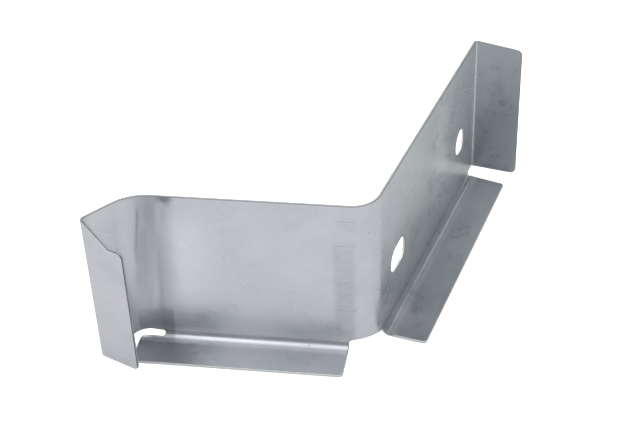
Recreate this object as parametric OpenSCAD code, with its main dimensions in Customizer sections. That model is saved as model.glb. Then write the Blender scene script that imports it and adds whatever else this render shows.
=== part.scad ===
/* [Sheet] */
// Thickness of the sheet
sheet_t = 1.2; // [0.8:0.1:2]
// Height of the upright walls, from the ground to their top edge
wall_h = 80; // [60:1:120]
// Inside radius of the folds along the bottom
base_r = 3; // [2:0.5:5]

/* [Front wall] */
// Straight length of the front wall, between the hook bend and the centre bend
front_l = 86.3; // [60:0.1:140]

/* [Centre bend] */
// Angle that the strip turns through between the front wall and the side wall
centre_turn = 76.5; // [60:0.5:90]
// Inside radius, on the back of the strip
centre_r = 12; // [6:0.5:20]
// Height of the arched relief above the lower edge of the walls
arch_rise = 2; // [1.6:0.1:5]
// Height of the relief at its start beside the front flange
arch_lift = 0.8; // [0:0.1:1.4]

/* [Side wall] */
// Straight length of the side wall, between the centre bend and the end fold
side_l = 143.1; // [110:0.1:200]
// Length of the straight sides of the oblong hole near the centre bend
near_hole_l = 7; // [2:0.5:20]
// Height of the oblong hole, which is the diameter of its round ends
near_hole_d = 13; // [6:0.5:20]
// Distance of the oblong hole's middle from the centre bend
near_hole_s = 22.7; // [14:0.1:60]
// Height of the oblong hole's middle above the ground
near_hole_z = 31.6; // [20:0.2:50]
// Diameter of the round hole near the end fold
far_hole_d = 13.9; // [6:0.1:20]
// Distance of the round hole from the end fold
far_hole_s = 23.1; // [14:0.1:50]
// Height of the round hole above the ground
far_hole_z = 33.8; // [20:0.2:50]

/* [End flange] */
// Straight width of the end flange, from the end fold to its free edge
end_w = 23; // [10:0.5:40]
// Angle of the end fold
end_turn = 90; // [75:1:105]
// Inside radius of the end fold
end_r = 1; // [0.5:0.5:4]
// Fall of the top edge towards the free edge
end_drop = 2; // [0:0.5:10]
// Radius of the two free corners
end_corner_r = 3; // [0.5:0.5:5]

/* [Hook] */
// Straight length of the slanted wall, between the lip fold and the hook bend
hook_l = 14.5; // [10:0.1:30]
// Angle that the strip turns through between the slanted wall and the front wall
hook_turn = 50.44; // [40:0.02:60]
// Inside radius of the hook bend, on the front of the strip
hook_r = 19.8; // [10:0.2:24]
// Height of the arched relief under the hook bend, above the lower edge of the walls
hook_rise = 1.7; // [0.6:0.1:3]
// Distance of that relief's start from the start of the hook bend, on the line of the front wall
hook_rise_in = 4.2; // [3.2:0.1:6]
// Reach of that relief past the end of the hook bend
hook_rise_out = 1.1; // [0.4:0.1:3]

/* [Lip] */
// Straight width of the lip, from the lip fold to its free edge
lip_w = 19.7; // [16:0.1:26]
// Angle of the lip fold
lip_turn = 106; // [95:1:115]
// Inside radius of the lip fold
lip_r = 1; // [0.5:0.5:3]
// How far the top of the lip lies below the top of the walls
lip_drop = 10.6; // [4:0.2:20]
// Width of the mitre that falls from the lip fold to the top of the lip
mitre_w = 12.7; // [6:0.1:13]
// Radius of the lip's upper corner
lip_top_r = 3; // [0.5:0.5:5]
// Radius of the lip's lower corner
lip_bottom_r = 2.5; // [0.5:0.5:5]

/* [Front flange] */
// Distance of the flange's right end from the centre bend
front_gap = 1.4; // [1:0.1:10]
// How much shorter the flange's right end is at its outer edge
front_skew = 0.5; // [0:0.5:4]
// Reach of the flange's left end past the start of the hook bend
front_over = 12.5; // [8:0.1:15]
// Width of the flange, from the front of the wall
front_flange_w = 19.3; // [14:0.1:20]
// Radius of the two outer corners
front_corner_r = 2.2; // [0.5:0.1:5]
// Distance of the relief slot's round end, at its centre, from the start of the hook bend
front_slot_in = 2.5; // [0:0.1:4]
// Radius of the corner under the relief slot
slot_corner_r = 3.5; // [1:0.5:4]

/* [Side flange] */
// Distance of the flange's near end from the centre bend
side_gap = 1.7; // [1:0.1:10]
// Distance of the flange's far end from the end fold
side_far_gap = 3.9; // [2:0.1:20]
// Width of the flange at its near end
side_flange_w = 20.6; // [14:0.1:26]
// Width of the flange at its far end
side_far_w = 20; // [14:0.1:26]
// How much shorter the flange is along its outer edge
side_skew = 2; // [0:0.5:6]
// Radius of the two outer corners
side_corner_r = 2; // [0.5:0.1:5]
// Depth of the relief at the far end, from the flange's end to the centre of its round
side_relief_l = 0.4; // [0:0.1:6]

/* [Relief slots] */
// Part of the bottom fold's quarter turn that the slots take out, in degrees
slot_turn = 57; // [30:1:65]

/* [Hidden] */
$fn = 96;

// Height at which the bottom folds end and the walls begin
base_z = base_r + sheet_t;
// Room by which a cutting tool passes the sheet
clear = 2 * sheet_t;
// Reach of the cutting blocks, past the whole of any bend
far = 60;

// Radius from each bend's axis to the face that lies at Y = 0, the front of the strip.
// A bend towards the front has that face inside, and one towards the back has it outside.
centre_face = centre_r + sheet_t;

function along(heading) = [cos(heading), sin(heading)];
function unit(v) = v / norm(v);

// Plan positions, from the point where the centre bend starts, used for the overall box
centre_c = [0, centre_face];
side_p = centre_c + centre_face * along(centre_turn - 90);
end_c = side_p + side_l * along(centre_turn) + end_r * along(centre_turn - 90);
end_p = end_c + end_r * along(centre_turn - end_turn + 90);
edge_p = end_p + end_w * along(centre_turn - end_turn);
hook_c = [-front_l, -hook_r];
hook_p = hook_c + hook_r * along(hook_turn + 90);
lip_c = hook_p - hook_l * along(hook_turn) + lip_r * along(hook_turn - 90);
lip_head = hook_turn + lip_turn;
tip_p = lip_c + lip_r * along(lip_head + 90) - lip_w * along(lip_head);
left_x = lip_c.x - lip_r - sheet_t;
right_x = edge_p.x + max(0, sheet_t * along(centre_turn - end_turn + 90).x);
front_y = tip_p.y + sheet_t * along(lip_head + 90).y;
back_y = end_c.y + end_r + sheet_t;
middle = [(left_x + right_x) / 2, (front_y + back_y) / 2];

// Frames that follow the strip. In each, X runs along the wall and its front face is at Y = 0.
// The front wall's frame starts where the centre bend starts, and the wall lies at negative X.
module side_frame() {
    translate([0, centre_face, 0])
        rotate([0, 0, centre_turn])
            translate([0, -centre_face, 0])
                children();
}

module end_frame() {
    side_frame()
        translate([side_l, -end_r, 0])
            rotate([0, 0, -end_turn])
                translate([0, end_r, 0])
                    children();
}

// The slanted wall and the lip lie at negative X of their frames
module hook_frame() {
    translate([-front_l, -hook_r, 0])
        rotate([0, 0, hook_turn])
            translate([0, hook_r, 0])
                children();
}

module lip_frame() {
    hook_frame()
        translate([-hook_l, -lip_r, 0])
            rotate([0, 0, lip_turn])
                translate([0, lip_r, 0])
                    children();
}

// Straight wall from x0 to x1
module wall(x0, x1) {
    translate([x0, 0, base_z])
        cube([x1 - x0, sheet_t, wall_h - base_z]);
}

// Wall with the outline drawn as seen from its front
module shaped_wall() {
    translate([0, sheet_t, 0])
        rotate([90, 0, 0])
            linear_extrude(sheet_t)
                children();
}

// Tube about the axis of a bend, at y in the frame of a wall that it joins
module bend_tube(y, r) {
    translate([0, y, base_z])
        difference() {
            cylinder(h = wall_h - base_z, r = r + sheet_t);
            translate([0, 0, -clear])
                cylinder(h = wall_h + clear, r = r);
        }
}

// Blocks that trim a tube to the start and to the end of its bend
module before() {
    translate([-far, -far, 0])
        cube([far, 2 * far, wall_h + clear]);
}

module after() {
    translate([0, -far, 0])
        cube([far, 2 * far, wall_h + clear]);
}

module centre_bend() {
    difference() {
        bend_tube(centre_face, centre_r);
        before();
        side_frame()
            after();
    }
}

module end_fold() {
    difference() {
        end_frame()
            bend_tube(-end_r, end_r);
        side_frame()
            translate([side_l, 0, 0])
                before();
        end_frame()
            after();
    }
}

module hook_bend() {
    difference() {
        translate([-front_l, 0, 0])
            bend_tube(-hook_r, hook_r);
        translate([-front_l, 0, 0])
            after();
        hook_frame()
            before();
    }
}

module lip_fold() {
    difference() {
        hook_frame()
            translate([-hook_l, 0, 0])
                bend_tube(-lip_r, lip_r);
        hook_frame()
            translate([-hook_l, 0, 0])
                after();
        lip_frame()
            before();
    }
}

// What a fillet of radius r takes off the corner b between its neighbours a and c
module corner_waste(a, b, c, r) {
    u = unit(a - b);
    v = unit(c - b);
    half = acos(u * v) / 2;
    centre = b + unit(u + v) * r / sin(half);
    reach = r / tan(half);
    out = b - centre;
    difference() {
        polygon([centre, b + reach * u, b + reach * u + out, b + reach * v + out, b + reach * v]);
        translate(centre)
            circle(r);
    }
}

// Polygon whose corners have true arcs, where their radius isn't 0
module outline(points, radii) {
    n = len(points);
    difference() {
        polygon(points);
        for (i = [0 : n - 1])
            if (radii[i] > 0)
                corner_waste(points[(i + n - 1) % n], points[i], points[(i + 1) % n], radii[i]);
    }
}

module lip() {
    top = wall_h - lip_drop;
    shaped_wall()
        outline([[-lip_w, base_z], [0, base_z], [0, wall_h], [-mitre_w, top], [-lip_w, top]],
                [lip_bottom_r, 0, 0, 0, lip_top_r]);
}

module end_flange() {
    shaped_wall()
        outline([[0, base_z], [end_w, base_z], [end_w, wall_h - end_drop], [0, wall_h]],
                [0, end_corner_r, end_corner_r, 0]);
}

// Hole through the wall, oblong where its straight sides have a length l
module side_hole(s, z, d, l = 0) {
    for (end = [-l / 2, l / 2])
        translate([s + end, -clear, z])
            rotate([-90, 0, 0])
                cylinder(h = sheet_t + 2 * clear, d = d);
    if (l > 0)
        translate([s - l / 2, -clear, z - d / 2])
            cube([l, sheet_t + 2 * clear, d]);
}

// Relief that frees the centre bend from the two flanges. The top of a round bar makes its arch,
// which starts at the front flange, arch_lift high, and runs out just before the side flange.
module centre_relief() {
    start = [-front_gap, 0];
    finish = side_p + side_gap / 2 * along(centre_turn);
    span = norm(finish - start);
    run_out = span / (1 + sqrt((arch_rise - arch_lift) / arch_rise));
    crest = finish - run_out * unit(finish - start);
    r = (pow(run_out, 2) + pow(arch_rise, 2)) / (2 * arch_rise);
    difference() {
        translate([crest.x, crest.y, base_z + arch_rise - r])
            rotate([90, 0, atan2(finish.y - start.y, finish.x - start.x)])
                translate([0, 0, -far / 2])
                    cylinder(h = far, r = r);
        translate([-front_gap, 0, 0])
            before();
    }
}

// Relief under the hook bend, the top of a round bar that lies across the bend's chord
module hook_relief() {
    start = [-front_l - hook_rise_in, 0];
    finish = hook_p - hook_rise_out * along(hook_turn);
    half = norm(finish - start) / 2;
    crest = (start + finish) / 2;
    r = (pow(half, 2) + pow(hook_rise, 2)) / (2 * hook_rise);
    translate([crest.x, crest.y, base_z + hook_rise - r])
        rotate([90, 0, atan2(start.y - finish.y, start.x - finish.x)])
            translate([0, 0, -far / 2])
                cylinder(h = far, r = r);
}

// Section of a bottom fold and its flange, with the wall's front at 0 and the flange on the left
module base_section(w) {
    translate([-base_r, base_z])
        intersection() {
            difference() {
                circle(base_z);
                circle(base_r);
            }
            translate([0, -base_z])
                square(base_z);
        }
    translate([-w, 0])
        square([w - base_r, sheet_t]);
}

// Extrudes a section, drawn in Y and Z, along X from x0 to x1
module run(x0, x1) {
    translate([x0, 0, 0])
        rotate([90, 0, 90])
            linear_extrude(x1 - x0)
                children();
}

// Slot in the bottom fold, from x0 to the round end centred at x1, cut square to the sheet all round
module fold_slot(x0, x1) {
    depth = 2 * base_z;
    translate([0, -base_r, base_z]) {
        run(min(x0, x1), max(x0, x1))
            polygon([[0, 0], depth * along(slot_turn / 8), depth * along(-slot_turn)]);
        translate([x1, 0, 0])
            rotate([-90 - slot_turn / 2, 0, 0])
                cylinder(h = depth, r1 = 0, r2 = depth * tan(slot_turn / 2));
    }
}

module front_flange() {
    x1 = -front_gap;
    x0 = -front_l - front_over;
    // the rounded corner runs out into the slot, a little past its lower edge
    slot_y = base_z * cos(slot_turn) - base_r + sheet_t / 4;
    difference() {
        intersection() {
            run(x0 - clear, x1 + clear)
                base_section(front_flange_w + clear);
            translate([0, 0, -clear])
                linear_extrude(base_z + clear)
                    difference() {
                        outline([[x0, clear], [x0, -front_flange_w], [x1 - front_skew, -front_flange_w],
                                 [x1, 0], [x1, clear]],
                                [0, front_corner_r, front_corner_r, 0, 0]);
                        corner_waste([x0, -front_flange_w], [x0, slot_y], [x1, slot_y], slot_corner_r);
                    }
        }
        fold_slot(x0 - clear, -front_l - front_slot_in);
    }
}

module side_flange() {
    x0 = side_gap;
    x1 = side_l - side_far_gap;
    difference() {
        intersection() {
            run(x0 - clear, x1 + clear)
                base_section(max(side_flange_w, side_far_w) + clear);
            translate([0, 0, -clear])
                linear_extrude(base_z + clear)
                    outline([[x0, clear], [x0, -side_flange_w], [x1 - side_skew, -side_far_w],
                             [x1, 0], [x1, clear]],
                            [0, side_corner_r, side_corner_r, 0, 0]);
        }
        fold_slot(x1 + clear, x1 - side_relief_l);
    }
}

// The upright strip, bent but not yet relieved
module strip() {
    lip_frame()
        lip();
    lip_fold();
    hook_frame()
        wall(-hook_l, 0);
    hook_bend();
    wall(-front_l, 0);
    centre_bend();
    side_frame()
        difference() {
            wall(0, side_l);
            side_hole(near_hole_s, near_hole_z, near_hole_d, near_hole_l);
            side_hole(side_l - far_hole_s, far_hole_z, far_hole_d);
        }
    end_fold();
    end_frame()
        end_flange();
}

module bracket() {
    color([0.70, 0.73, 0.75])
        translate([-middle.x, -middle.y, 0]) {
            difference() {
                strip();
                centre_relief();
                hook_relief();
            }
            front_flange();
            side_frame()
                side_flange();
        }
}

bracket();
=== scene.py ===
import math

import bmesh
import bpy
from mathutils import Matrix, Vector
from mathutils.bvhtree import BVHTree


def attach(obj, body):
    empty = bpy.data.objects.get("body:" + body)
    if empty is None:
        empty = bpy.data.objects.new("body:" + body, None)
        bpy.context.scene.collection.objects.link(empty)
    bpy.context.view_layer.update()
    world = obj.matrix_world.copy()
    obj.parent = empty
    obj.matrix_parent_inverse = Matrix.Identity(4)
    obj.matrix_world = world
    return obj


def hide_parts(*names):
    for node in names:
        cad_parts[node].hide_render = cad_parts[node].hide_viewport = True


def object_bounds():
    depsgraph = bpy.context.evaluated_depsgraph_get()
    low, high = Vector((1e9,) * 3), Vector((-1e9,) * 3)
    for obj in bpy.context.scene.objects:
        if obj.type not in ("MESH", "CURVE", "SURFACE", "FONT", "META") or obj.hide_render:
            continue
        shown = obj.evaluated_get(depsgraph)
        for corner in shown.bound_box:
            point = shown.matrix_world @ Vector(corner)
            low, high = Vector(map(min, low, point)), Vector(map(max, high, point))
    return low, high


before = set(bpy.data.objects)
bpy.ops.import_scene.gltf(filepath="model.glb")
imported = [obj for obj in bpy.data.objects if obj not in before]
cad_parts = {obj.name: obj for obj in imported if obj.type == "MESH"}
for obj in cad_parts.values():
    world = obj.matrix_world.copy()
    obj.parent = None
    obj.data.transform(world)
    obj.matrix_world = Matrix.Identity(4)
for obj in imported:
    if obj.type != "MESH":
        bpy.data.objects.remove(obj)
cad_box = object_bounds()
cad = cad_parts["bracket"]

# The sheet's sizes in millimetres and degrees, as in part.scad
MM = 1000.0
T = 1.2
BASE_R = 3.0
BASE_Z = BASE_R + T
FRONT_L = 86.3
CENTRE_R, CENTRE_TURN = 12.0, 76.5
SIDE_L = 143.1
END_R, END_TURN, END_W = 1.0, 90.0, 23.0
HOOK_R, HOOK_TURN, HOOK_L = 19.8, 50.44, 14.5
LIP_R, LIP_TURN, LIP_W = 1.0, 106.0, 19.7
# The start of the centre bend, in the part's frame
START = Vector((21.06854, -61.16745))

# A point less than this below the upper border of the bottom fold still belongs to the wall
BORDER = 0.01
# How far a foot flange may reach before its wall, past it and out in front of it
FLANGE_BEFORE, FLANGE_PAST, FLANGE_OUT = 16.0, 1.0, 24.0

# Metres: points nearer than this are one, rays start this deep, and the rims are rolled over this far
MERGE = 6e-5
RAY_INSET = 2e-5
ROLL = 0.00028
# The other face of the sheet is never deeper than this behind the first one
SHEET_DEPTH = T / MM * 1.06
# Faces that turn less than this are one
FLAT = math.radians(0.15)
# The materials' places on the mesh, and the mesh's own data that stays
SHEET, ROLLED, CUT = 0, 1, 2
KEEP = ("position", "material_index", "sharp_face")


def along(degrees):
    a = math.radians(degrees)
    return Vector((math.cos(a), math.sin(a)))


# The strip in plan, as runs that follow each other: straight ones, and bends about an axis. Each run
# has the place on the strip where it starts, its length there, its heading and a point or an axis.
class Straight:
    def __init__(self, s0, point, heading, length):
        self.s0, self.point, self.length = s0, point, length
        self.ahead, self.left = along(heading), along(heading + 90)

    def place(self, p, before=0, past=0, out=0):
        """How far off the run a point is, and its place along the strip and into the sheet. What lies
        this little before the run, past it or out in front of it still counts as on it."""
        d = p - self.point
        s, n = d.dot(self.ahead), d.dot(self.left)
        off = max(-s - before, s - self.length - past, 0) + max(n - T, -n - out, 0)
        return off, self.s0 + s, n


class Bend:
    """Turns left about its axis where sign is 1, and right where it is -1."""

    def __init__(self, s0, axis, heading, turn, r_front, sign):
        self.s0, self.axis, self.heading, self.turn = s0, axis, heading, turn
        self.r, self.sign = r_front, sign
        self.mid = r_front - sign * T / 2
        self.length = self.mid * math.radians(turn)

    def place(self, p):
        d = p - self.axis
        start = along(self.heading - self.sign * 90)
        angle = math.degrees(math.atan2(start.x * d.y - start.y * d.x, start.dot(d))) * self.sign
        n = (self.r - d.length) * self.sign
        out = max(-angle, angle - self.turn, 0)
        off = math.radians(out) * self.mid + max(-n, n - T, 0)
        return off, self.s0 + math.radians(angle) * self.mid, n


def strip_runs():
    """All runs of the strip, and the two walls that have foot flanges."""
    centre_face = CENTRE_R + T
    axis = START + Vector((0, centre_face))
    bend = Bend(0, axis, 0, CENTRE_TURN, centre_face, 1)
    side_p = axis + centre_face * along(CENTRE_TURN - 90)
    side = Straight(bend.length, side_p, CENTRE_TURN, SIDE_L)
    end_axis = side_p + SIDE_L * side.ahead + END_R * along(CENTRE_TURN - 90)
    fold = Bend(side.s0 + SIDE_L, end_axis, CENTRE_TURN, END_TURN, END_R, -1)
    heading = CENTRE_TURN - END_TURN
    end = Straight(fold.s0 + fold.length, end_axis + END_R * along(heading + 90), heading, END_W)
    front = Straight(-FRONT_L, START - Vector((FRONT_L, 0)), 0, FRONT_L)
    hook_axis = front.point - Vector((0, HOOK_R))
    hook = Bend(0, hook_axis, HOOK_TURN, HOOK_TURN, HOOK_R, -1)
    hook.s0 = front.s0 - hook.length
    hook_p = hook_axis + HOOK_R * along(HOOK_TURN + 90)
    slant = Straight(hook.s0 - HOOK_L, hook_p - HOOK_L * along(HOOK_TURN), HOOK_TURN, HOOK_L)
    lip_axis = slant.point + LIP_R * along(HOOK_TURN - 90)
    head = HOOK_TURN + LIP_TURN
    lip_fold = Bend(0, lip_axis, head, LIP_TURN, LIP_R, -1)
    lip_fold.s0 = slant.s0 - lip_fold.length
    lip_p = lip_axis + LIP_R * along(head + 90)
    lip = Straight(lip_fold.s0 - LIP_W, lip_p - LIP_W * along(head), head, LIP_W)
    return [lip, lip_fold, slant, hook, front, bend, side, fold, end], (front, side)


RUNS, WALLS = strip_runs()


def on_sheet(point):
    """The developed place of a point: along the strip, up it, and into it from its front, in mm.
    The foot flanges carry on downwards, past the bottom fold."""
    x, y, z = (c * MM for c in point)
    p = Vector((x, y))
    if z >= BASE_Z - BORDER:
        _, s, n = min((run.place(p) for run in RUNS), key=lambda r: r[0])
        return s, z, n
    reach = (FLANGE_BEFORE, FLANGE_PAST, FLANGE_OUT)
    _, s, n = min((wall.place(p, *reach) for wall in WALLS), key=lambda r: r[0])
    mid = BASE_R + T / 2
    if n < -BASE_R:
        return s, BASE_Z - mid * math.pi / 2 + n + BASE_R, T - z
    a = math.atan2(BASE_Z - z, n + BASE_R)
    return s, BASE_Z - mid * a, math.hypot(n + BASE_R, BASE_Z - z) - BASE_R


def dress(source):
    """The sheet as it looks: the solid with its sheared edges rolled over, and its own place on each
    point."""
    bm = bmesh.new()
    bm.from_mesh(source.data)
    bmesh.ops.remove_doubles(bm, verts=bm.verts, dist=MERGE)
    bmesh.ops.triangulate(bm, faces=bm.faces)
    bm.normal_update()
    # a face of the sheet itself has the other face one thickness behind it, and a sheared edge hasn't
    tree = BVHTree.FromBMesh(bm)
    for face in bm.faces:
        depth = tree.ray_cast(face.calc_center_median() - face.normal * RAY_INSET, -face.normal)[3]
        face.material_index = CUT if depth is None or depth > SHEET_DEPTH else SHEET
        face.smooth = True
    bmesh.ops.dissolve_limit(bm, angle_limit=FLAT, verts=bm.verts, edges=bm.edges,
                             use_dissolve_boundaries=False, delimit={"MATERIAL"})
    sharp = [e for e in bm.edges if e.link_faces[0].material_index != e.link_faces[1].material_index]
    bmesh.ops.bevel(bm, geom=sharp, offset=ROLL, offset_type="OFFSET", segments=2, profile=0.5,
                    affect="EDGES", clamp_overlap=False, material=ROLLED)
    bmesh.ops.recalc_face_normals(bm, faces=bm.faces)
    # the rolled rims stay inside the solid's own box
    low, high = (Vector(corner) for corner in cad_box)
    for vertex in bm.verts:
        vertex.co = [min(max(c, a), b) for c, a, b in zip(vertex.co, low, high)]
    mesh = bpy.data.meshes.new("bracket_sheet")
    bm.to_mesh(mesh)
    bm.free()
    # the solid's own normals and marks don't fit the new faces
    for name in [a.name for a in mesh.attributes if a.name not in KEEP and not a.name.startswith(".")]:
        mesh.attributes.remove(mesh.attributes[name])
    place = mesh.attributes.new("sheet", "FLOAT_VECTOR", "POINT")
    for vertex, value in zip(mesh.vertices, place.data):
        value.vector = on_sheet(vertex.co)
    piece = bpy.data.objects.new("bracket_sheet", mesh)
    bpy.context.scene.collection.objects.link(piece)
    weighted = piece.modifiers.new("normals", "WEIGHTED_NORMAL")
    weighted.mode = "FACE_AREA"
    weighted.weight = 50
    return piece


class Nodes:
    """Fills the node tree of a material or a world with little text."""

    def __init__(self, owner):
        owner.use_nodes = True
        self.owner = owner
        self.tree = owner.node_tree
        self.tree.nodes.clear()

    def add(self, kind, inputs=None, **settings):
        node = self.tree.nodes.new(kind)
        for key, value in settings.items():
            setattr(node, key, value)
        for key, value in (inputs or {}).items():
            if hasattr(value, "is_output"):
                self.tree.links.new(value, node.inputs[key])
            else:
                node.inputs[key].default_value = value
        return node

    def math(self, operation, *values):
        """Applies the operation to the first two values, then to the result and the next one."""
        out = values[0]
        for value in values[1:]:
            out = self.add("ShaderNodeMath", {0: out, 1: value}, operation=operation).outputs[0]
        return out

    def times(self, *values):
        return self.math("MULTIPLY", *values)

    def plus(self, *values):
        return self.math("ADD", *values)

    def minus(self, *values):
        return self.math("SUBTRACT", *values)

    def most(self, *values):
        return self.math("MAXIMUM", *values)

    def layer(self, *zones):
        """The strongest of some zones, each of which is a product of masks and strengths."""
        return self.most(*(self.times(*zone) for zone in zones))

    def level(self, value, low, high, out_low=0.0, out_high=1.0):
        """Goes smoothly from out_low to out_high as the value goes from low to high."""
        if low > high:
            low, high, out_low, out_high = high, low, out_high, out_low
        inputs = {0: value, 1: low, 2: high, 3: out_low, 4: out_high}
        return self.add("ShaderNodeMapRange", inputs, interpolation_type="SMOOTHSTEP").outputs[0]

    def window(self, value, low, high, soft):
        """1 between low and high, and 0 outside, over a soft border on both sides."""
        rise = self.level(value, low - soft, low + soft)
        return self.times(rise, self.level(value, high - soft, high + soft, 1.0, 0.0))

    def mix(self, factor, a, b):
        a, b = (c if hasattr(c, "is_output") else (*c, 1) for c in (a, b))
        return self.add("ShaderNodeMix", {0: factor, 6: a, 7: b}, data_type="RGBA").outputs[2]


class SheetNodes(Nodes):
    """A material laid out on the developed sheet: s along the strip, h up it and depth into it, in mm."""

    def __init__(self, name):
        super().__init__(bpy.data.materials.new(name))
        attribute = self.add("ShaderNodeAttribute", attribute_name="sheet", attribute_type="GEOMETRY")
        self.place = attribute.outputs["Vector"]
        self.s, self.h, self.depth = self.add("ShaderNodeSeparateXYZ", {0: self.place}).outputs
        self.on_lip = self.level(self.s, -121.5, -120.5, 1.0, 0.0)
        self.on_flange = self.level(self.h, -2, -5)

    def stretch(self, scale, at=(0, 0, 0)):
        inputs = {"Vector": self.place, "Scale": scale, "Location": at}
        return self.add("ShaderNodeMapping", inputs).outputs[0]

    def noise(self, scale, detail, at=(0, 0, 0), roughness=0.5, distortion=0.0):
        inputs = {"Vector": self.stretch(scale, at), "Scale": 1.0, "Detail": detail,
                  "Roughness": roughness, "Distortion": distortion}
        return self.add("ShaderNodeTexNoise", inputs).outputs["Fac"]

    def metal(self, color, metallic, rough, **more):
        inputs = {"Base Color": color, "Metallic": metallic, "Roughness": rough, **more}
        shader = self.add("ShaderNodeBsdfPrincipled", inputs)
        self.add("ShaderNodeOutputMaterial", {"Surface": shader.outputs[0]})
        return self.owner


class Zinc(SheetNodes):
    """The faces of the sheet: the zinc's mottle, painted shade and reflections, and the press's marks on
    the front.
    """

    COOL, LAVENDER = (0.552, 0.565, 0.60), (0.628, 0.614, 0.66)
    TEAL, PALE = (0.553, 0.588, 0.598), (0.65, 0.655, 0.67)
    # the colours of the painted shade and of the painted reflections
    DEEP, BRIGHT = (0.2, 0.225, 0.235), (0.76, 0.765, 0.79)
    # the colour of the press's marks, and of a painted dark reflection and painted shade
    MARK, WORN = (0.215, 0.23, 0.265), (0.16, 0.195, 0.205)
    # painted shade in the front flange's fold, and the colours of that flange's dark left end and free
    # edge
    FOLD, FOOT, RIM = (0.3, 0.31, 0.31), (0.19, 0.195, 0.2), (0.12, 0.13, 0.135)

    def __init__(self, name):
        super().__init__(name)
        self.cloud = self.noise((0.045, 0.06, 1), 3, roughness=0.55, distortion=0.3)
        self.haze = self.noise((0.07, 0.05, 1), 2, at=(31, 7, 3))
        self.patch = self.noise((0.18, 0.22, 1), 1.5, at=(5, 40, 0))
        self.front = self.level(self.depth, 0.7, 0.5)
        self.past_bend = self.level(self.s, 14, 20)
        self.in_fold = self.window(self.h, -1.6, 3.0, 0.7)
        # a place along the strip that leans with the hook bend's streaks, and wanders a little
        slope = self.times(self.minus(self.h, 70), 0.107)
        self.lean = self.plus(self.minus(self.s, slope), self.times(self.haze, 2.0))

    def mottle(self):
        """Soft lavender and teal clouds over a cool grey, with more teal on the side wall."""
        color = self.mix(self.level(self.cloud, 0.36, 0.64), self.COOL, self.LAVENDER)
        teal = self.layer((self.level(self.haze, 0.48, 0.7), 0.5),
                          (self.level(self.s, 14, 60), self.level(self.haze, 0.3, 0.6, 0.4, 0.9)))
        color = self.mix(teal, color, self.TEAL)
        return self.mix(self.level(self.patch, 0.35, 0.75, 0.0, 0.3), color, self.PALE)

    def tone(self, color):
        """Painted shade on the darker zones of the sheet, and painted reflections on the brighter ones of
        its front.
        """
        s, h = self.s, self.h
        low = self.level(h, 24, 8)
        deep = self.layer(
            # painted shade: the end flange, more so towards its foot, and the foot flanges
            (self.level(s, 160, 164), self.level(h, 78, 8, 0.13, 0.48)),
            (self.on_flange, 0.31),
            (self.past_bend, self.on_flange, 0.35),
            # painted shade on the near half of the side wall, and a trace on the centre bend
            (self.window(s, 14, 96, 12), self.window(h, 22, 84, 12), 0.24),
            (self.window(s, -5, 9, 4), self.level(h, -1, 2), 0.05),
            # painted shade on the side wall and the front wall low down, and in the side flange's fold
            (self.level(s, 16, 22), low, self.level(h, -2, 1), 0.13),
            (self.window(s, -70, -6, 5), low, self.level(h, 1, 4), 0.3),
            (self.past_bend, self.in_fold, 0.25))
        color = self.mix(deep, color, self.DEEP)
        bright = self.layer(
            # painted reflections: a leaning stripe on the front wall where the hook bend ends, and the
            # wall beside it
            (self.window(self.lean, -85.0, -81.5, 1.8), self.level(h, 14, 28),
             self.level(h, 66, 80, 1.0, 0.6), 0.85),
            (self.level(s, -88.5, -84.5), self.level(s, -80, -52, 1.0, 0.0),
             self.level(h, 10, 24), self.level(h, 58, 78, 1.0, 0.15), 0.72),
            # painted reflections on the front wall just over its fold, and on the slanted wall's upper
            # part
            (self.window(s, -66, -34, 10), self.window(h, 4, 17, 6), 0.3),
            (self.window(s, -117, -104, 3), self.level(h, 35, 60), 0.45),
            # painted reflections on the far half of the side wall, low down and above
            (self.window(s, 122, 156, 8), self.level(h, 34, 14), 0.22),
            (self.window(s, 96, 152, 12), self.window(h, 30, 84, 10), 0.24))
        return self.mix(self.times(bright, self.front), color, self.BRIGHT)

    def marks(self):
        """How strong the tool marks and the dirt are, on the front of the sheet."""
        s, h = self.s, self.h
        # streaks drawn over the hook bend
        faint = self.level(self.noise((0.2, 0.07, 1), 2, at=(3, 9, 0)), 0.35, 0.6, 0.45, 1.0)
        streak = self.times(self.window(self.lean, -93.3, -91.9, 0.9), self.window(h, 44, 77, 7), faint)
        streaks = self.times(self.window(self.lean, -93.4, -87.6, 1.6), self.window(h, 30, 84, 8),
                             self.level(self.haze, 0.3, 0.65, 0.5, 1.0))
        # a rubbed band where the centre bend starts, and three scratches across it
        fine = self.noise((0.22, 0.7, 1), 3, at=(2, 6, 0), roughness=0.6)
        rub = self.times(self.window(self.plus(s, self.times(self.patch, 2.4)), -6.0, 3.2, 1.7),
                         self.window(h, 8, 58, 8), self.level(self.haze, 0.35, 0.65, 0.7, 1.0),
                         self.level(fine, 0.38, 0.62, 0.6, 1.0))
        wander = self.noise((0.09, 1.1, 1), 2, at=(0, 3, 5))
        lines = self.most(self.window(self.plus(h, self.times(wander, 1.6)), 59.2, 59.7, 0.3),
                          self.window(self.plus(h, self.times(wander, 2.6)), 24.1, 24.6, 0.35),
                          self.times(self.window(h, 71.7, 72.0, 0.3), 0.6))
        scratches = self.times(lines, self.window(s, -7.2, 2.4, 0.8), self.level(wander, 0.3, 0.45))
        # a smudge at the top edge, and a few specks
        smudge = self.times(self.window(s, -84, -77.5, 2.0), self.level(h, 73.5, 78.5),
                            self.level(self.patch, 0.35, 0.6))
        dots = self.add("ShaderNodeTexVoronoi", {"Vector": self.stretch((0.09, 0.09, 0.3)), "Scale": 1.0})
        specks = self.times(self.level(dots.outputs["Distance"], 0.06, 0.03), self.window(s, -50, 12, 3))
        marks = self.layer((streaks, 0.3), (streak, 0.55), (rub, 0.3),
                           (scratches, 0.6), (smudge, 0.75), (specks, 0.6))
        return self.times(marks, self.front)

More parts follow.
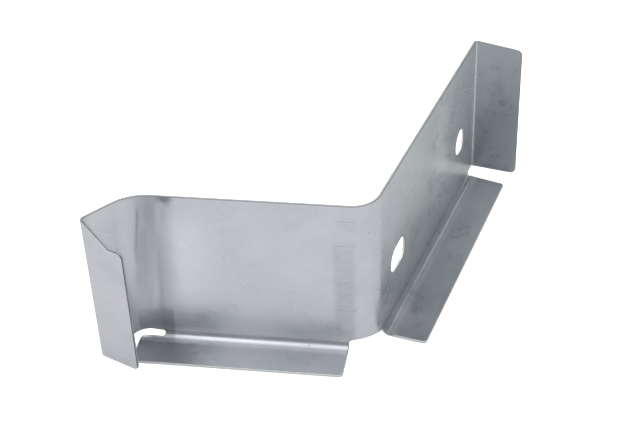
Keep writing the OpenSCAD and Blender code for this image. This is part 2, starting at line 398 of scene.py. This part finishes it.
    def worn(self):
        """A painted dark reflection over the relief slot, and painted shade low on the front wall along
        the fold.
        """
        s, h = self.s, self.h
        edgy = self.noise((0.35, 0.35, 1), 2, at=(9, 0, 2))
        # a painted dark reflection over the relief slot
        dull = self.times(self.window(self.plus(s, self.times(edgy, 1.5)), -98.4, -81.6, 0.8),
                          self.level(self.plus(h, self.times(self.patch, 5.0)), 22.5, 14.5),
                          self.level(h, -2.5, 0.5))
        # painted shade low on the front wall, just over its fold
        under = self.times(self.window(s, -84, -58, 9), self.level(h, 9, 3.5))
        return self.times(self.layer((dull, 0.44), (under, 0.1)), self.front)

    def build(self):
        s, h = self.s, self.h
        # the zinc's mottle, with painted shade and painted reflections over it
        color = self.tone(self.mottle())
        marks = self.marks()
        color = self.mix(marks, color, self.MARK)
        # a painted dark reflection over the relief slot, and painted shade low on the front wall
        color = self.mix(self.worn(), color, self.WORN)
        # painted shade makes the front flange a little darker on its fold, and the flange is darker still
        # at its left end and free edge
        fold = self.times(self.in_fold, self.level(s, 8, 12, 1.0, 0.0), self.level(s, -78, -20, 0.12, 1.0))
        color = self.mix(self.times(fold, 0.2), color, self.FOLD)
        # the front flange darker towards its left end, in soft blotches
        foot = self.times(self.window(self.plus(s, self.times(self.patch, 14.0)), -110, -61, 10),
                          self.level(h, -2, -4.5), self.level(self.haze, 0.3, 0.62, 0.6, 1.0))
        color = self.mix(self.times(foot, 0.62), color, self.FOOT)
        rim = self.times(self.level(h, -17.0, -17.5), self.level(s, 4, 0))
        color = self.mix(self.times(rim, 0.6), color, self.RIM)
        # the marks, the fold, the flange's dark left end and the drawn metal of the hook bend are rougher
        drawn = self.times(self.window(s, -98, -80, 5), self.level(h, 8, 24))
        grain = self.plus(self.times(self.cloud, 0.6), self.times(self.patch, 0.4))
        rough = self.plus(self.level(grain, 0.35, 0.65, 0.26, 0.36), self.times(marks, 0.1),
                          self.times(fold, 0.14), self.times(foot, 0.15), self.times(drawn, 0.16))
        # the zinc lies in low swells
        swell = self.noise((0.06, 0.08, 1), 1, at=(7, 7, 0))
        bump = self.add("ShaderNodeBump", {"Height": swell, "Strength": 0.6, "Distance": 0.00015})
        return self.metal(color, metallic=0.88, rough=rough, Normal=bump.outputs[0])


class Edge(SheetNodes):
    """A sheared edge or its rim, with a fine grain."""

    LIGHT_A, LIGHT_B = (0.50, 0.51, 0.52), (0.66, 0.67, 0.67)
    # the rims' painted shade, and the lighter grey it takes on the walls
    DARK_A, DARK_B = (0.07, 0.078, 0.082), (0.15, 0.155, 0.16)
    WALL_RIM = (0.24, 0.25, 0.255)
    CUT_LIGHT, FRACTURE = (0.68, 0.69, 0.69), (0.34, 0.35, 0.36)
    # painted highlights for the foot flanges' cut faces and the holes, and painted shade for the lip's
    FLANGE_CUT, BORE, LIP_CUT = (0.74, 0.745, 0.74), (0.95, 0.95, 0.94), (0.22, 0.23, 0.235)

    def __init__(self, name):
        super().__init__(name)
        self.grain = self.noise((1.4, 1.4, 0.6), 3, roughness=0.6)

    def grained(self, a, b):
        return self.mix(self.level(self.grain, 0.3, 0.7), a, b)

    def rolled(self):
        """The rim that the shear rolls over: painted shade on the front of the sheet, and a painted
        highlight on its back. On the lip and the foot flanges it is the other way round."""
        flip = self.most(self.on_lip, self.on_flange)
        back = self.level(self.depth, 0.4, 0.8)
        burnished = self.math("ABSOLUTE", self.minus(back, flip), 0.0)
        # painted shade on the dark rims, lighter on the walls above the flanges
        walls = self.times(self.level(self.s, -119, -116), self.level(self.h, -3, 0))
        dull = self.mix(walls, self.grained(self.DARK_A, self.DARK_B), self.WALL_RIM)
        # the painted highlight on the lit side of the rim
        color = self.mix(burnished, dull, self.grained(self.LIGHT_A, self.LIGHT_B))
        return self.metal(color, metallic=0.75, rough=self.level(self.grain, 0.3, 0.7, 0.35, 0.5))

    def cut(self):
        """The sheared face itself: darker where it broke, with painted shade on the lip, and painted
        highlights that make it brightest on the foot flanges and in the holes."""
        fracture = self.level(self.plus(self.depth, self.times(self.grain, 0.6)), 0.75, 1.2)
        color = self.grained(self.LIGHT_A, self.CUT_LIGHT)
        color = self.mix(self.times(fracture, 0.3), color, self.FRACTURE)
        # a painted highlight on the foot flanges' cut faces
        color = self.mix(self.level(self.h, -1, -5, 0.0, 0.7), color, self.FLANGE_CUT)
        # a painted highlight on the lit walls of the holes
        bores = self.times(self.window(self.s, 20, 157, 1), self.window(self.h, 12, 52, 1))
        color = self.mix(self.times(bores, 0.8), color, self.BORE)
        # painted shade on the lip's cut faces
        color = self.mix(self.times(self.on_lip, 0.5), color, self.LIP_CUT)
        return self.metal(color, metallic=0.45, rough=self.level(self.grain, 0.3, 0.7, 0.45, 0.6))


def lay_floor():
    """White to the camera, and otherwise a pale surface that lights the sheet from below."""
    half, drop = 6.0, 0.0003
    mesh = bpy.data.meshes.new("floor")
    corners = [(-half, -half, 0), (half, -half, 0), (half, half, 0), (-half, half, 0)]
    mesh.from_pydata(corners, [], [(0, 1, 2, 3)])
    floor = bpy.data.objects.new("floor", mesh)
    floor.location = (0, 0, -drop)
    bpy.context.scene.collection.objects.link(floor)
    n = Nodes(bpy.data.materials.new("floor"))
    path = n.add("ShaderNodeLightPath")
    pale = n.add("ShaderNodeBsdfDiffuse", {"Color": (0.8, 0.8, 0.8, 1)})
    white = n.add("ShaderNodeEmission", {"Color": (1, 1, 1, 1), "Strength": 0.8})
    both = n.add("ShaderNodeAddShader", {0: pale.outputs[0], 1: white.outputs[0]})
    shown = n.add("ShaderNodeMixShader", {0: path.outputs["Is Camera Ray"], 1: pale.outputs[0],
                                          2: both.outputs[0]})
    n.add("ShaderNodeOutputMaterial", {"Surface": shown.outputs[0]})
    mesh.materials.append(n.owner)
    return floor


def set_world():
    """White to the camera, and a dim room otherwise."""
    n = Nodes(bpy.data.worlds.new("studio"))
    path = n.add("ShaderNodeLightPath")
    white = n.add("ShaderNodeBackground", {"Color": (1, 1, 1, 1), "Strength": 1.0})
    room = n.add("ShaderNodeBackground", {"Color": (0.90, 1.0, 1.02, 1), "Strength": 0.26})
    shown = n.add("ShaderNodeMixShader", {0: path.outputs["Is Camera Ray"], 1: room.outputs[0],
                                          2: white.outputs[0]})
    n.add("ShaderNodeOutputWorld", {"Surface": shown.outputs[0]})
    bpy.context.scene.world = n.owner


def hang_lamp():
    """A large soft lamp over the bracket."""
    place, aim = Vector((0.05, -0.3, 1.3)), Vector((0, -0.1, 0))
    data = bpy.data.lights.new("key", "AREA")
    data.shape = "RECTANGLE"
    data.size, data.size_y = 2.4, 2.2
    data.energy = 30.9
    lamp = bpy.data.objects.new("key", data)
    lamp.location = place
    lamp.rotation_euler = (aim - place).to_track_quat("-Z", "Y").to_euler()
    bpy.context.scene.collection.objects.link(lamp)


def place_camera():
    """The camera as found from the photograph's edges, with its focal length in pixels."""
    image_w, sensor_mm, focal_px = 640, 36.0, 1358.06
    yaw, pitch, roll = (math.radians(a) for a in (-9.47, 35.62, -2.31))
    place = Vector((0.08612, -0.52505, 0.41294))
    forward = Vector((math.sin(yaw) * math.cos(pitch), math.cos(yaw) * math.cos(pitch), -math.sin(pitch)))
    level = Vector((math.cos(yaw), -math.sin(yaw), 0))
    upright = level.cross(forward)
    right = math.cos(roll) * level + math.sin(roll) * upright
    up = -math.sin(roll) * level + math.cos(roll) * upright
    data = bpy.data.cameras.new("camera")
    data.sensor_fit = "HORIZONTAL"
    data.sensor_width = sensor_mm
    data.lens = focal_px * sensor_mm / image_w
    data.clip_start = 0.01
    camera = bpy.data.objects.new("camera", data)
    camera.matrix_world = Matrix.Translation(place) @ Matrix((right, up, -forward)).transposed().to_4x4()
    bpy.context.scene.collection.objects.link(camera)
    bpy.context.scene.camera = camera


piece = dress(cad)
piece.data.materials.append(Zinc("galvanised_steel").build())
piece.data.materials.append(Edge("rolled_edge").rolled())
piece.data.materials.append(Edge("cut_edge").cut())
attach(piece, "root")
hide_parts("bracket")

floor = lay_floor()
set_world()
hang_lamp()
place_camera()
bpy.context.scene.view_settings.view_transform = "Standard"
